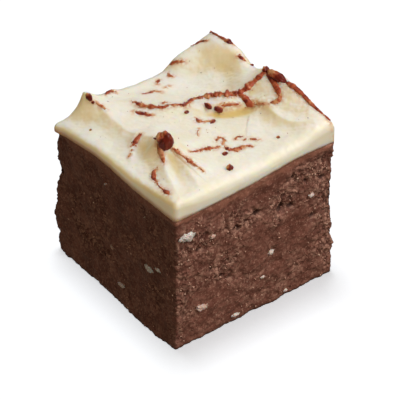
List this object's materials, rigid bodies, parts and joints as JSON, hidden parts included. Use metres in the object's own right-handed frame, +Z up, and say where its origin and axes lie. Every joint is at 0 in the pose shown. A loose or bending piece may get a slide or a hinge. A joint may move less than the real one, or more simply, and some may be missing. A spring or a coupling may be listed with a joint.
{
  "type": "chocolate praline",
  "caption": "Square-cut praline: a crumbly brown chocolate block under a swirled white chocolate layer with pulled peaks and dark streaks.",
  "frame": {"origin": "middle of the flat base", "axes": "+Z up; the front corner of the picture is at -X -Y, so its right face looks along -Y and its left face along -X"},
  "size_m": [0.0259, 0.0258, 0.0263],
  "materials": {
    "brown_chocolate": "matt, crumbly cut brown chocolate with pits and pale flecks",
    "white_chocolate": "satin white chocolate with dark chocolate streaks on its crests"
  },
  "bodies": {
    "root": {"praline_block": "brown_chocolate", "white_top": "white_chocolate"}
  },
  "joints": []
}
